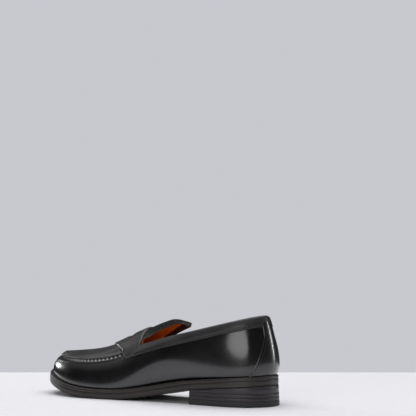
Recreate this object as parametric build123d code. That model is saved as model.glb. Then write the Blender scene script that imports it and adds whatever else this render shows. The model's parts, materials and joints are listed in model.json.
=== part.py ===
from build123d import *
import math
import os

os.makedirs("parts", exist_ok=True)

# A left penny loafer, men's size 42, welted on a leather sole with a stacked heel.
# Millimetres. While it is drawn, X runs forward from the back of the heel, +Y is the outer
# (lateral) side and Z is up from the ground. Along a table, x is a percentage of sole_length.

# ---- sole and heel ----
sole_length = 297.0
forepart_width = 100.6
sole_edge = 10.0            # welt and outsole together, as the edge shows it
outsole_thickness = 6.4
heel_back_height = 20.6     # ground to the outsole at the back of the heel
heel_breast_height = 14.2   # ground to the outsole at the heel's front face
heel_breast_at = 80.0       # x of the heel's front face
toe_spring = 17.2
top_piece_thickness = 5.6   # rubber, under the heel
flat_lifts = 2              # leather lifts of even thickness, between top piece and wedge
wedge_front = 1.4           # thin front end of the wedge that levels the heel seat
welt_width = 12.0           # welt and heel rand, in from the sole's edge

# ---- upper ----
collar_height = 89.5        # top of the collar at the back of the heel
seam_height = 41.0          # apron seam over the joint of the toes
toe_height = 44.4           # apron at the toe
tongue_height = 85.6        # crest of the tongue's free end
leather = 1.4               # vamp, apron, counter cover and tongue
stiffening = 1.0            # toe puff, heel counter, interlining and collar tape
lining = 1.0
overlay = 1.2               # penny strap and collar band, outside the leather
strap_half_length = 24.0    # penny strap, along the shoe, from its middle to an edge
strap_centre = 180.5        # x of the strap's middle line on the crest
strap_end_length = 17.0     # strap along the shoe, where its ends are sewn down
strap_end_drop = 9.0        # strap ends hang this far below the apron seam
slot_half_width = 17.0      # penny slot, across the shoe
slot_half_length = 4.2
band_width = 10.5
lasting_margin = 17.0       # leather turned in under the insole

# ---- bottom filling ----
insole_thickness = 2.8
sock_thickness = 1.2
rib_width = 2.2
shank_length = 104.0
shank_width = 14.0
shank_thickness = 1.2
shank_start = 32.0
heel_nails = 7
nail_radius = 1.1
nail_inset = 12.0           # nails in from the heel's edge
top_pin_count = 9
pin_radius = 0.8
pin_inset = 5.0
backstay_top = 12.0         # half width of the counter cover at the collar
backstay_foot = 26.5        # half width of the counter cover at the welt
slant_ahead = 0.8           # top of the net's line ahead of the counter cover, as a share of its foot
counter_reach = 92.0        # heel stiffener, forward from the back of the heel
puff_reach = 62.0           # toe puff, back from the toe
heel_grip_reach = 42.0      # heel lining, forward from the back of the heel

# ---- tongue hinge ----
throat_bow = 8.5            # the strap's rear edge lies this much further back at the seams
slot_back = 3.0             # the slot's middle behind the strap's middle
backstay_at = 14.0          # x of the counter cover's seams at the sole
tongue_gap = 0.6            # air between the tongue and the edge it flexes at
tongue_reach = 42.0         # tongue behind the strap, along the shoe
tongue_root = 20.0          # half width at the strap
tongue_tip = 15.0           # half width at the free end
tongue_binding = 9.0        # binding folded under the free end
tongue_slack = 1.6          # more air at the root's sides, for the downward swing
tongue_corner = 1.0         # free end curves this far forward at its corners
glue = 0.25                 # thread and glue line under each turned-in layer
mitre_in = 0.55             # inner layers' upper edge at the apron seam, inward per mm of depth
mitre_down = 0.95           # and downward
insole_ease = 1.2           # insole and sock stand this far inside the lining
pin_recess = 0.4            # pins' heads above the ground
pin_bite = 2.5              # pins reach this far into the first lift
nail_bite = 4.0             # heel nails reach this far above the outsole's underside at the heel's front
nailed_reach = 0.8          # nails and pins go round this share of the heel
blunt_from = 0.909          # ahead of this share of the length the apron keeps its width
side_blend = 4.0            # inner and outer walls blend over this distance at the ends
overrun = 0.08              # a wall face carried on above its upper edge straightens in this share
tuck_limit = 1.25           # and below its foot in this one
fine = 96                   # stations used to measure the seam line
big = 400.0                 # longer than the shoe, for cutting tools


# ======== curves ========
def curve(points):
    """A natural cubic through (percent, value) points, as a function of x; flat past its ends."""
    xs = [p[0] * sole_length / 100 for p in points]
    ys = [p[1] for p in points]
    last = len(xs) - 1
    gap = [xs[i + 1] - xs[i] for i in range(last)]
    bend = [0.0] * (last + 1)
    share = [0.0] * (last + 1)
    load = [0.0] * (last + 1)
    for i in range(1, last):
        change = 6 * ((ys[i + 1] - ys[i]) / gap[i] - (ys[i] - ys[i - 1]) / gap[i - 1])
        pivot = 2 * (gap[i - 1] + gap[i]) - gap[i - 1] * share[i - 1]
        share[i] = gap[i] / pivot
        load[i] = (change - gap[i - 1] * load[i - 1]) / pivot
    for i in range(last - 1, 0, -1):
        bend[i] = load[i] - share[i] * bend[i + 1]

    def value(x):
        x = min(max(x, xs[0]), xs[-1])
        i = 0
        while i < last - 1 and x > xs[i + 1]:
            i += 1
        a = (xs[i + 1] - x) / gap[i]
        b = (x - xs[i]) / gap[i]
        cubic = ((a**3 - a) * bend[i] + (b**3 - b) * bend[i + 1]) * gap[i] ** 2 / 6
        return a * ys[i] + b * ys[i + 1] + cubic

    return value


# Sole outline: percent of the length, and of the forepart's width, outer side positive.
OUTLINE = [
    (0, 0), (1.3, 13.9), (4.7, 26.3), (11.4, 33.3), (20.2, 34.3), (30.3, 34.3), (40.4, 36.3),
    (50.5, 40.8), (60.6, 46.2), (69, 49.7), (75.8, 49.7), (82.5, 46.2), (88.2, 39.3),
    (93.6, 28.8), (97.6, 15.4), (100, -5), (97.6, -24.9), (93.6, -36.8), (88.2, -45.7),
    (82.5, -50.2), (75.8, -50.2), (69, -46.2), (60.6, -37.8), (50.5, -29.3), (40.4, -27.8),
    (30.3, -30.3), (20.2, -33.3), (11.4, -33.3), (4.7, -26.3), (1.3, -13.9),
]

# Underside of the outsole above the ground.
sole_bottom = curve([
    (0, heel_back_height), (9.4, heel_back_height - 2), (20.2, heel_breast_height + 1.8),
    (26.9, heel_breast_height - 0.2), (33.7, heel_breast_height - 3.2), (40.4, 7.6), (47.1, 4.2),
    (53.2, 1.6), (58.9, 0.2), (64, 0), (69, 0.35), (74.1, 1.4), (80.8, 0.23 * toe_spring),
    (87.5, 0.47 * toe_spring), (94.3, 0.73 * toe_spring), (100, toe_spring),
])

# Height of the wall's upper edge: collar, then apron seam.
collar_rise = collar_height - seam_height
rim = curve([
    (0, collar_height), (11.4, seam_height + 0.874 * collar_rise),
    (24.6, seam_height + 0.705 * collar_rise), (36.7, seam_height + 0.548 * collar_rise),
    (45.8, seam_height + 0.408 * collar_rise), (50.8, seam_height + 0.313 * collar_rise),
    (55.6, seam_height + 0.186 * collar_rise), (60.6, seam_height + 0.087 * collar_rise),
    (67, seam_height + 0.025 * collar_rise), (74.1, seam_height), (82.5, seam_height),
    (89.2, seam_height + 0.6), (95.6, seam_height + 1.8), (100, seam_height + 2),
])

# Crest line over the apron, the strap and the tongue.
crest_rise = tongue_height - toe_height
crest = curve([
    (35.4, toe_height + 1.07 * crest_rise), (41.8, toe_height + 0.985 * crest_rise),
    (47.1, toe_height + 0.875 * crest_rise), (52.5, toe_height + 0.738 * crest_rise),
    (57.9, toe_height + 0.597 * crest_rise), (62.3, toe_height + 0.463 * crest_rise),
    (67.3, toe_height + 0.318 * crest_rise), (72.4, toe_height + 0.218 * crest_rise),
    (77.4, toe_height + 0.155 * crest_rise), (84.2, toe_height + 0.102 * crest_rise),
    (90.9, toe_height + 0.063 * crest_rise), (96, toe_height + 0.029 * crest_rise),
    (101, toe_height - 0.6),
])
crest_y = curve([(35, -1.5), (67, -2), (84, -3), (101, -4)])

# How the wall stands: inside the sole's edge, tucked in at the welt, widest at the bulge,
# and leaning in to its upper edge.
ledge = curve([
    (0, 0.2), (11.4, -0.3), (23.6, -1), (37, -1), (50.5, 0.5), (64, 2), (77, 3), (91, 3.8), (100, 4),
])
bulge_outer = curve([
    (0, 12), (6.7, 9), (16.8, 12), (27, 18), (35.4, 23), (45.5, 19), (52.2, 11), (59, 5),
    (67, 3), (84, 3), (100, 5),
])
bulge_inner = curve([
    (0, 12), (6.7, 10), (16.8, 14), (27, 21), (35.4, 25), (45.5, 23), (53.9, 15), (62.3, 8),
    (70.7, 4), (84, 3), (100, 5),
])
tuck_outer = curve([
    (0, 1.8), (6.7, 1.6), (16.8, 3), (27, 5), (35.4, 6), (45.5, 4.5), (53.9, 2), (67, 0.8), (100, 0.5),
])
tuck_inner = curve([
    (0, 1.8), (6.7, 1.6), (16.8, 3.5), (27, 6), (35.4, 8), (45.5, 7), (53.9, 4), (67, 1.2), (100, 0.5),
])
lean_outer = curve([
    (0, 10), (5, 9), (11.4, 7.5), (20.2, 6.5), (30.3, 7), (40.4, 10.5), (50.8, 15.5), (58, 13.5),
    (67, 12), (77.4, 12.5), (89.2, 11.5), (100, 9),
])
lean_inner = curve([
    (0, 10), (5, 9), (11.4, 7), (20.2, 4.5), (30.3, 2.5), (40.4, 1.8), (50.8, 4), (58, 7.5),
    (67, 11), (77.4, 13.5), (89.2, 12.5), (100, 9),
])
roundness = curve([(0, 1.6), (20.2, 1.8), (40.4, 2), (53.9, 2), (67.3, 2.2), (100, 2.3)])


def welt_top(x):
    return sole_bottom(x) + sole_edge


# ======== stations round the shoe ========
outline = Spline(
    *[Vector(x * sole_length / 100, y * forepart_width / 100) for x, y in OUTLINE], periodic=True
)


class Station:
    """A point on the sole's outline, its inward normal, and the wall's shape above it."""

    def __init__(self, share):
        edge = outline @ share
        ahead = outline % share
        self.inward = Vector(ahead.Y, -ahead.X)
        outer = 1 / (1 + math.exp(-edge.Y / side_blend))

        def side(a, b, x):
            return outer * a(x) + (1 - outer) * b(x)

        self.share = share
        self.edge = edge
        self.foot = edge + self.inward * ledge(edge.X)
        x = self.foot.X
        self.base = welt_top(x)
        self.height = rim(x) - self.base
        self.bulge = side(bulge_outer, bulge_inner, x)
        self.tuck = side(tuck_outer, tuck_inner, x)
        self.lean = side(lean_outer, lean_inner, x)
        self.power = roundness(x)

    def set_back(self, z):
        """How far the wall's outer face stands inside its foot at height z."""
        above = z - self.base
        if above < self.bulge:
            return self.tuck * min((self.bulge - above) / self.bulge, tuck_limit) ** 2
        share = (above - self.bulge) / (self.height - self.bulge)
        if share > 1:
            share = 1 + overrun * math.tanh((share - 1) / overrun)
        return self.lean * share**self.power

    def wall(self, z, skin):
        """The point at height z on a face `skin` inside the wall's outer face."""
        slope = self.set_back(z + 0.5) - self.set_back(z - 0.5)
        inside = self.set_back(z) + skin * math.sqrt(1 + slope**2)
        point = self.foot + self.inward * inside
        return Vector(point.X, point.Y, z)

    def seam(self):
        return self.foot + self.inward * self.lean


RING = [Station(i / fine) for i in range(fine)]
SEAM_LINE = [s.seam() for s in RING]


def seam_y(x, outer):
    """Y of the wall's upper edge at x, on one side."""
    best = None
    for a, b in zip(SEAM_LINE, SEAM_LINE[1:] + SEAM_LINE[:1]):
        if (a.Y + b.Y > 0) == outer and (a.X - x) * (b.X - x) <= 0 and a.X != b.X:
            best = a.Y + (b.Y - a.Y) * (x - a.X) / (b.X - a.X)
    return best


def share_at(x, outer):
    """Share of the outline where it passes x, on one side of the shoe."""
    low, high = (0, 0.5) if outer else (1, 0.5)
    for _ in range(40):
        middle = (low + high) / 2
        if (outline @ middle).X < x:
            low = middle
        else:
            high = middle
    return low


# ======== the net: lines up the wall, and rows across the apron ========
throat_x = strap_centre - strap_half_length     # the strap's rear edge on the crest
throat_y = crest_y(throat_x)
throat_side = throat_x - throat_bow             # the same edge at the seams
strap_front_side = throat_side + strap_end_length
strap_front = strap_centre + strap_half_length
puff_x = sole_length - puff_reach

# Places where a piece ends, from the heel to the toe, and the net's lines between them.
ENDS = [backstay_at, heel_grip_reach, counter_reach, throat_side, strap_front_side, puff_x]
SPLITS = [2, 2, 3, 4, 3, 4, 5]


def side_shares(outer):
    """Outline shares of the net's lines from the back of the heel to the tip of the toe."""
    marks = [0 if outer else 1] + [share_at(x, outer) for x in ENDS] + [0.5]
    shares = [marks[0]]
    for a, b, count in zip(marks, marks[1:], SPLITS):
        shares += [a + (b - a) * (i + 1) / count for i in range(count)]
    return shares


OUTER_SHARES = side_shares(True)
INNER_SHARES = side_shares(False)
toe_line = len(OUTER_SHARES) - 1
BACKSTAY, GRIP, COUNTER, THROAT, STRAP_FRONT, PUFF = [sum(SPLITS[: i + 1]) for i in range(6)]
lines = 2 * toe_line                            # the net closes on itself at the back
DEPTHS = [0, leather, leather + stiffening, leather + stiffening + lining]


def line_number(index, outer):
    """The net's line at a place counted from the heel, on one side."""
    return index if outer else (lines - index) % lines


class NetLine:
    """One line of the net, from the lasting margin up the wall to its upper edge."""

    def __init__(self, number):
        outer = number <= toe_line
        index = number if outer else lines - number
        self.index = index
        foot = (OUTER_SHARES if outer else INNER_SHARES)[index]
        heel = (OUTER_SHARES if outer else INNER_SHARES)[0]
        slant = backstay_top / backstay_foot if index <= BACKSTAY else slant_ahead
        self.foot = Station(foot % 1)
        self.top = Station((heel + (foot - heel) * slant) % 1) if index < GRIP else self.foot

    def at(self, z, skin):
        a = self.foot.wall(z, skin)
        b = self.top.wall(z, skin)
        share = (z - self.foot.base) / self.foot.height
        return a + (b - a) * min(max(share, 0), 1)

    def upper(self, depth):
        """The upper edge: square at the collar, mitred to the apron ahead of the throat."""
        z = self.top.base + self.top.height
        if self.index < THROAT:
            return self.at(z, depth)
        point = self.foot.seam() + self.foot.inward * (mitre_in * depth)
        return Vector(point.X, point.Y, z - mitre_down * depth)

    def face(self, depth):
        """Points of the wall's face at a depth, from the turned-in margin to the upper edge."""
        corner = self.at(self.foot.base + glue + depth, depth)
        floor = welt_top(corner.X) + glue + depth
        upper = self.upper(depth)
        height = upper.Z - floor - band_width
        margin = self.foot.foot + self.foot.inward * lasting_margin
        margin_z = welt_top(margin.X) + glue + depth
        zs = [floor, floor + height / 3, floor + 2 * height / 3, floor + height, upper.Z - strap_end_drop]
        return [Vector(margin.X, margin.Y, margin_z)] + [self.at(z, depth) for z in zs] + [upper]


NET = [NetLine(i) for i in range(lines)]
FACES = {depth: [line.face(depth) for line in NET] for depth in DEPTHS + [-overlay]}


# ======== solids between two nets ========
def triangles(a, b, c, d):
    """Two triangles over a four-cornered cell, cut along its shorter diagonal."""
    if round((a - c).length, 5) <= round((b - d).length, 5):
        pair = [(a, b, c), (a, c, d)]
    else:
        pair = [(a, b, d), (b, c, d)]
    return [t for t in pair if min((t[0] - t[1]).length, (t[1] - t[2]).length, (t[2] - t[0]).length) > 1e-4]


def skin_between(over, under, hole=()):
    """Triangles round the space between two nets of the same size; `hole` lists cells left out."""
    rows = len(over)
    columns = len(over[0])
    cells = [(i, j) for i in range(rows - 1) for j in range(columns - 1) if (i, j) not in hole]
    faces = []
    for i, j in cells:
        k = i + 1
        faces += triangles(over[i][j], over[k][j], over[k][j + 1], over[i][j + 1])
        faces += triangles(under[i][j], under[k][j], under[k][j + 1], under[i][j + 1])
        sides = [((i, j), (k, j), (i, j - 1)), ((k, j + 1), (i, j + 1), (i, j + 1))]
        sides += [((i, j + 1), (i, j), (i - 1, j)), ((k, j), (k, j + 1), (k, j))]
        for (p, q), (r, s), beside in sides:
            if beside not in cells:
                faces += triangles(over[p][q], over[r][s], under[r][s], under[p][q])
    return faces


def corners_of(triangle):
    return frozenset((round(p.X, 4), round(p.Y, 4), round(p.Z, 4)) for p in triangle)


def solid_of(*skins):
    """One solid from skins that meet face to face; triangles that two of them share drop out."""
    met = {}
    for skin in skins:
        for triangle in skin:
            met.setdefault(corners_of(triangle), []).append(triangle)
    alone = [found[0] for found in met.values() if len(found) == 1]
    return Solid(Shell([Face(Wire.make_polygon(triangle, close=True)) for triangle in alone]))


def wall_piece(layer, first, last, low=0, high=6):
    """One layer of the wall round the net from line `first` to line `last`, cells low to high."""
    pick = [i % lines for i in range(first, last + 1)]
    outer = [FACES[layer[0]][i][low : high + 1] for i in pick]
    inner = [FACES[layer[1]][i][low : high + 1] for i in pick]
    return skin_between(outer, inner)


# ======== the apron's net ========
SLOT_ENDS = [NET[line_number(THROAT + 1, side)].foot.seam().Y for side in (False, True)]
slot_share = 2 * slot_half_width / (SLOT_ENDS[1] - SLOT_ENDS[0])
HALF = [slot_share / 2, slot_share, (1 + slot_share) / 2, 1]
COLUMNS = [-share for share in reversed(HALF)] + [0] + HALF


def roof_z(x, y):
    """Height of the apron's outer face, carried on over the tongue."""
    blunt = min(x, blunt_from * sole_length)
    middle = crest_y(x)
    share = (y - middle) / (seam_y(blunt, y > middle) - crest_y(blunt))
    return rim(x) + (crest(x) - rim(x)) * (1 - share**2)


def roof_point(x, y, skin):
    across = roof_z(x, y + 0.5) - roof_z(x, y - 0.5)
    along = roof_z(x + 0.5, y) - roof_z(x - 0.5, y)
    return Vector(x, y, roof_z(x, y) - skin * math.sqrt(1 + across**2 + along**2))


def row(index, depth):
    """A row across the apron, from the inner seam to the outer one, bowed forward at the crest."""
    inner = NET[line_number(index, False)]
    outer = NET[line_number(index, True)]
    ends = [inner.upper(depth), outer.upper(depth)]
    a = inner.foot.seam()
    b = outer.foot.seam()
    if index <= STRAP_FRONT:
        crest_x = CREST_STOPS[index - THROAT]
    else:
        left = (toe_line - index) / (toe_line - STRAP_FRONT)
        crest_x = (a.X + b.X) / 2 + left**2 * (strap_front - strap_side_x)
    if index == toe_line:
        return [ends[0]] * len(COLUMNS)
    points = []
    for share in COLUMNS[1:-1]:
        middle = (a + b) / 2
        y = middle.Y + share * (b.Y - a.Y) / 2
        x = a.X + (b.X - a.X) * (share + 1) / 2
        x += (crest_x - middle.X) * (1 - abs(share) ** 1.6)
        points.append(roof_point(x, y, depth))
    return [ends[0]] + points + [ends[1]]


strap_side_x = sum(NET[line_number(STRAP_FRONT, side)].foot.seam().X for side in (True, False)) / 2
slot_x = strap_centre - slot_back
CREST_STOPS = [throat_x, slot_x - slot_half_length, slot_x + slot_half_length, strap_front]


def roof_piece(layer, first, last):
    rows = range(first, last + 1)
    return skin_between([row(i, layer[0]) for i in rows], [row(i, layer[1]) for i in rows])


SHOE = {}
TONGUE = {}


# ======== upper ========
def build_leather():
    outside = (0, leather)
    SHOE["vamp"] = solid_of(wall_piece(outside, BACKSTAY, lines - BACKSTAY))
    SHOE["backstay"] = solid_of(wall_piece(outside, -BACKSTAY, BACKSTAY))
    SHOE["apron"] = solid_of(roof_piece(outside, THROAT, toe_line))


def build_stiffening():
    middle = (DEPTHS[1], DEPTHS[2])
    band = 4                                    # the net's cells from here up are the collar's
    SHOE["toe_puff"] = solid_of(wall_piece(middle, PUFF, lines - PUFF), roof_piece(middle, PUFF, toe_line))
    SHOE["collar_tape"] = solid_of(wall_piece(middle, -THROAT, THROAT, band))
    SHOE["heel_stiffener"] = solid_of(wall_piece(middle, -COUNTER, COUNTER, 0, band))
    SHOE["vamp_interlining"] = solid_of(
        roof_piece(middle, THROAT, PUFF),
        wall_piece(middle, THROAT, PUFF),
        wall_piece(middle, lines - PUFF, lines - THROAT),
        wall_piece(middle, COUNTER, THROAT, 0, band),
        wall_piece(middle, lines - THROAT, lines - COUNTER, 0, band),
    )


def build_linings():
    inside = (DEPTHS[2], DEPTHS[3])
    SHOE["vamp_lining"] = solid_of(
        wall_piece(inside, THROAT, lines - THROAT), roof_piece(inside, THROAT, toe_line)
    )
    SHOE["quarter_lining_outer"] = solid_of(wall_piece(inside, GRIP, THROAT))
    SHOE["quarter_lining_inner"] = solid_of(wall_piece(inside, lines - THROAT, lines - GRIP))
    SHOE["heel_grip_lining"] = solid_of(wall_piece(inside, -GRIP, GRIP))


def build_overlays():
    SHOE["collar_band"] = solid_of(wall_piece((-overlay, 0), -THROAT, THROAT, 4))
    nets = []
    for depth in (-overlay, 0):
        net = []
        for index in range(THROAT, STRAP_FRONT + 1):
            ends = [FACES[depth][line_number(index, side)][5] for side in (False, True)]
            net.append([ends[0]] + row(index, depth) + [ends[1]])
        nets.append(net)
    slot = [(1, 1 + j) for j, share in enumerate(COLUMNS[:-1]) if -slot_share <= share < slot_share]
    SHOE["penny_strap"] = solid_of(skin_between(nets[0], nets[1], hole=slot))


# ======== tongue ========
def tongue_row(share, depth):
    """A row across the tongue, from its root at 0 to its free end at 1."""
    half = tongue_root + (tongue_tip - tongue_root) * share**0.8
    ends = [NET[line_number(THROAT, side)].foot.seam() for side in (False, True)]
    root_bow = throat_x - (ends[0].X + ends[1].X) / 2 + tongue_slack
    bow = root_bow * (1 - share) - tongue_corner * share
    middle = throat_x - tongue_gap - share * (tongue_reach - tongue_gap)
    return [roof_point(middle - bow * abs(s) ** 1.6, throat_y + half * s, depth) for s in COLUMNS]


def build_tongue():
    binding_from = 1 - tongue_binding / tongue_reach
    stops = [0, 0.25, 0.5, binding_from, 1]
    for name, layer in (("tongue", 0), ("tongue_lining", 1)):
        nets = [[tongue_row(stop, DEPTHS[layer + i]) for stop in stops] for i in (0, 1)]
        TONGUE[name] = solid_of(skin_between(nets[0], nets[1]))
    nets = [[tongue_row(stop, DEPTHS[i]) for stop in stops[3:]] for i in (2, 3)]
    TONGUE["tongue_binding"] = solid_of(skin_between(nets[0], nets[1]))


# ======== bottom ========
def plate(points, low=-40.0, high=140.0):
    """An upright solid on a straight-sided plan outline."""
    face = make_face(Polyline(*[(p.X, p.Y, low) for p in points], close=True))
    return extrude(face, amount=high - low, dir=(0, 0, 1))


def between(x0, x1):
    """The whole width and height of the shoe from x0 to x1."""
    return plate([Vector(x0, -big), Vector(x1, -big), Vector(x1, big), Vector(x0, big)], -60.0, 200.0)


def slab(height, low, high):
    """The layer between two offsets of a side-view line, the whole width of the shoe."""
    xs = [-20.0] + [NET[i].foot.edge.X for i in range(1, toe_line + 1)] + [sole_length + 20.0]
    under = [(x, 0, height(x) + low) for x in xs]
    over = [(x, 0, height(x) + high) for x in reversed(xs)]
    return extrude(make_face(Polyline(*under, *over, close=True)), amount=big / 4, dir=(0, 1, 0), both=True)


def ring(distance):
    """The sole's outline moved inward."""
    return plate([line.foot.edge + line.foot.inward * distance for line in NET])


def foot_ring(distance):
    """The wall's foot line moved inward."""
    return plate([line.foot.foot + line.foot.inward * distance for line in NET])


def heel_spots(count, inset):
    """Points spread round the heel, in from its edge."""
    reach = share_at(nailed_reach * heel_breast_at, True)
    places = [Station((reach * (2 * i / (count - 1) - 1)) % 1) for i in range(count)]
    return [s.edge + s.inward * inset for s in places]


def pins(spots, radius, low, high):
    return [Pos(p.X, p.Y, (low + high) / 2) * Cylinder(radius, high - low) for p in spots]


def without(solid, tools):
    for tool in tools:
        solid = solid - tool
    return solid


def build_heel():
    block = (ring(0) & between(-50, heel_breast_at)) & slab(lambda x: 0, 0, 60)
    block = block - slab(sole_bottom, 0, 90)
    nail_top = heel_breast_height + nail_bite
    pin_top = top_piece_thickness + pin_bite
    nails = pins(heel_spots(heel_nails, nail_inset), nail_radius, top_piece_thickness, nail_top)
    top_pins = pins(heel_spots(top_pin_count, pin_inset), pin_radius, pin_recess, pin_top)
    flat_lift = (heel_breast_height - top_piece_thickness - wedge_front) / flat_lifts
    cuts = [0] + [top_piece_thickness + flat_lift * i for i in range(flat_lifts + 1)] + [60]
    names = ["heel_top_piece"] + [f"heel_lift_{i + 1}" for i in range(flat_lifts)] + ["heel_wedge_lift"]
    for name, low, high in zip(names, cuts, cuts[1:]):
        SHOE[name] = without(block & slab(lambda x: 0, low, high), nails + top_pins)
    SHOE["heel_nails"] = Compound(nails)
    SHOE["top_piece_pins"] = Compound(top_pins)
    return nails


def build_sole(nails):
    SHOE["outsole"] = without(ring(0) & slab(sole_bottom, 0, outsole_thickness), nails)
    strip = (ring(0) - ring(welt_width)) & slab(sole_bottom, outsole_thickness, sole_edge)
    SHOE["welt"] = strip - between(-50, heel_breast_at)
    SHOE["heel_rand"] = strip & between(-50, heel_breast_at)
    floor_top = glue + DEPTHS[3]
    rib = foot_ring(lasting_margin + glue) - foot_ring(lasting_margin + glue + rib_width)
    rib = (rib & slab(welt_top, -2, floor_top)) - between(-50, heel_breast_at)
    SHOE["insole_rib"] = rib
    bar = Box(shank_length, shank_width, big, align=(Align.MIN, Align.CENTER, Align.CENTER))
    plan = Pos(shank_start, 0, 0) * bar
    SHOE["shank"] = slab(welt_top, floor_top - shank_thickness, floor_top) & plan
    low = ring(welt_width) & slab(sole_bottom, outsole_thickness, sole_edge)
    high = foot_ring(lasting_margin + glue) & slab(welt_top, 0, floor_top)
    SHOE["cork_filler"] = (low + high) - rib - SHOE["shank"]
    corners = [FACES[DEPTHS[3]][i][1] + NET[i].foot.inward * insole_ease for i in range(lines)]
    inside = plate(corners)
    insole_foot = floor_top + glue
    sock_foot = insole_foot + insole_thickness
    SHOE["insole"] = inside & slab(welt_top, insole_foot, sock_foot)
    SHOE["sock"] = inside & slab(welt_top, sock_foot, sock_foot + sock_thickness)


build_leather()
build_stiffening()
build_linings()
build_overlays()
build_tongue()
build_sole(build_heel())

# ======== the finished frame: origin under the middle of the shoe, on the ground ========
ALL = {name: shape.solids() for name, shape in {**SHOE, **TONGUE}.items()}
box = Compound([solid for solids in ALL.values() for solid in solids]).bounding_box()
home = Location((-box.center().X, -box.center().Y, -box.min.Z))
for name, solids in ALL.items():
    moved = [solid.moved(home) for solid in solids]
    export_step(moved[0] if len(moved) == 1 else Compound(moved), f"parts/{name}.step")

hinge = Vector(throat_x - tongue_gap, 0, roof_z(throat_x, throat_y) - leather / 2) + home.position
print("box", box.size, "centre", box.center())
print("tongue hinge", hinge)
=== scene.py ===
import json
import math

import bmesh
import bpy
import numpy as np
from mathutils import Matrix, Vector


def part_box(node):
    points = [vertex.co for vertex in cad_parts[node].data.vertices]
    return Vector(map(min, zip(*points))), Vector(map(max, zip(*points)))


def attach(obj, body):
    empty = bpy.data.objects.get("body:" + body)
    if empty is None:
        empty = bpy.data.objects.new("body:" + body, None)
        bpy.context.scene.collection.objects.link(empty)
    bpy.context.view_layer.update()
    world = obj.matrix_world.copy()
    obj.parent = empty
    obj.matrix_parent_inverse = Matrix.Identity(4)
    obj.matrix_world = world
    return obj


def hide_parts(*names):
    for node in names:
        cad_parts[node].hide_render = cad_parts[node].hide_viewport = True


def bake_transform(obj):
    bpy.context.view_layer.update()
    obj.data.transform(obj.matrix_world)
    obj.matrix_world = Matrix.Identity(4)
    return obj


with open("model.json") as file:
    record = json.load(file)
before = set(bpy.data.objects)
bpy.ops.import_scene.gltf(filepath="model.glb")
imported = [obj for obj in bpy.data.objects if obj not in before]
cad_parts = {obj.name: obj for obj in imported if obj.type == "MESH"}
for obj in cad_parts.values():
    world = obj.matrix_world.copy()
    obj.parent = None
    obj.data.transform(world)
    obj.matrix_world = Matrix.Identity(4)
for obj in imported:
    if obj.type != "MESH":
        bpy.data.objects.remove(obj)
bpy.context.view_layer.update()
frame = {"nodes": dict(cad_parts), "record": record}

# The shoe is drawn in millimetres from the back of the heel, as the frame's pieces are: X forward,
# +Y to the outer side, Z up. `place` moves a point to the row frame, in metres.
TAU = 2 * math.pi
leather = 1.4

# The bottom. The sole's edge is the outsole and the welt together; the heel flares downward.
sole_low, sole_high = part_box("outsole")
sole_length = (sole_high.x - sole_low.x) * 1000
forepart_width = 100.6
sole_edge = 10.0
outsole_thickness = 6.4
welt_width = 12.0
heel_breast_at = (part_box("heel_lift_1")[1].x - sole_low.x) * 1000
top_piece = (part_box("heel_top_piece")[1].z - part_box("heel_top_piece")[0].z) * 1000
lift = (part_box("heel_lift_1")[1].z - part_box("heel_lift_1")[0].z) * 1000
heel_back_height = 20.6
heel_flare = 0.7
sock_inset = 5.2

# The upper's heights over the ground, at the heel, along the apron's seam, at the toe and tongue.
collar_height = 89.5
seam_height = 41.0
toe_height = 44.4
tongue_height = 85.6

# The wall's shape: how wide the change from its inner to its outer side is, how far the tuck
# grows under the bulge, and how far the lean goes on past the rim.
side_blend = 4
tuck_limit = 1.3
overrun = 0.08
# The share of the length from which the apron's half width stays the same.
blunt_from = 0.909

# The throat and the strap: x at the crest and at the sides, then the strap's ends and its slot.
throat_x = 156.5
throat_side = 148.0
strap_front = 204.5
strap_front_side = 169.0
strap_end_drop = 10.0
strap_end_slant = 0.38
strap_thickness = 1.35
apron_half_width = 34
slot_middle = 177.5
slot_half_width = 17.0
slot_half_length = 5.2

# The seam's ridge and the spacing of the threads.
ridge_half_width = 1.75
ridge_height = 1.45
seam_pitch = 5.0
tack_pitch = 2.8

# The counter cover, the band and the heel's lining.
backstay_foot_x = 14.5
backstay_top_x = 2.4
band_roll = 1.6
heel_grip_reach = 42

tongue_reach = 42.5
tongue_under = 5.0
tongue_root = 20.5
tongue_tip = 15.5
tongue_root_bow = 7.5
tongue_droop_from = 27.0
tongue_droop = 2.0

# The camera, fitted to the photograph: radians, millimetres in the drawing, millimetres of lens.
yaw = 0.61352
pitch = 0.08763
camera_at = (-524.8, 860.26, 108.95)
camera_sensor = 36.0
camera_lens = 86.7098077

# The floor's reach behind the shoe, towards the camera and to each side, in metres.
floor_back = 0.36
floor_front = 4.0
floor_side = 4.0


# ======== shape of the last ========
def curve(points):
    """A natural cubic through (percent of the length, value), as a function of x arrays."""
    xs, ys = np.array(points, float).T
    xs = xs * sole_length / 100
    n = len(xs)
    gap = np.diff(xs)
    matrix = np.eye(n)
    load = np.zeros(n)
    for i in range(1, n - 1):
        matrix[i, i - 1 : i + 2] = gap[i - 1], 2 * (gap[i - 1] + gap[i]), gap[i]
        load[i] = 6 * ((ys[i + 1] - ys[i]) / gap[i] - (ys[i] - ys[i - 1]) / gap[i - 1])
    bend = np.linalg.solve(matrix, load)

    def value(x):
        x = np.clip(np.asarray(x, float), xs[0], xs[-1])
        i = np.clip(np.searchsorted(xs, x) - 1, 0, n - 2)
        a = (xs[i + 1] - x) / gap[i]
        b = (x - xs[i]) / gap[i]
        cubic = ((a**3 - a) * bend[i] + (b**3 - b) * bend[i + 1]) * gap[i] ** 2 / 6
        return a * ys[i] + b * ys[i + 1] + cubic

    return value


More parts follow.
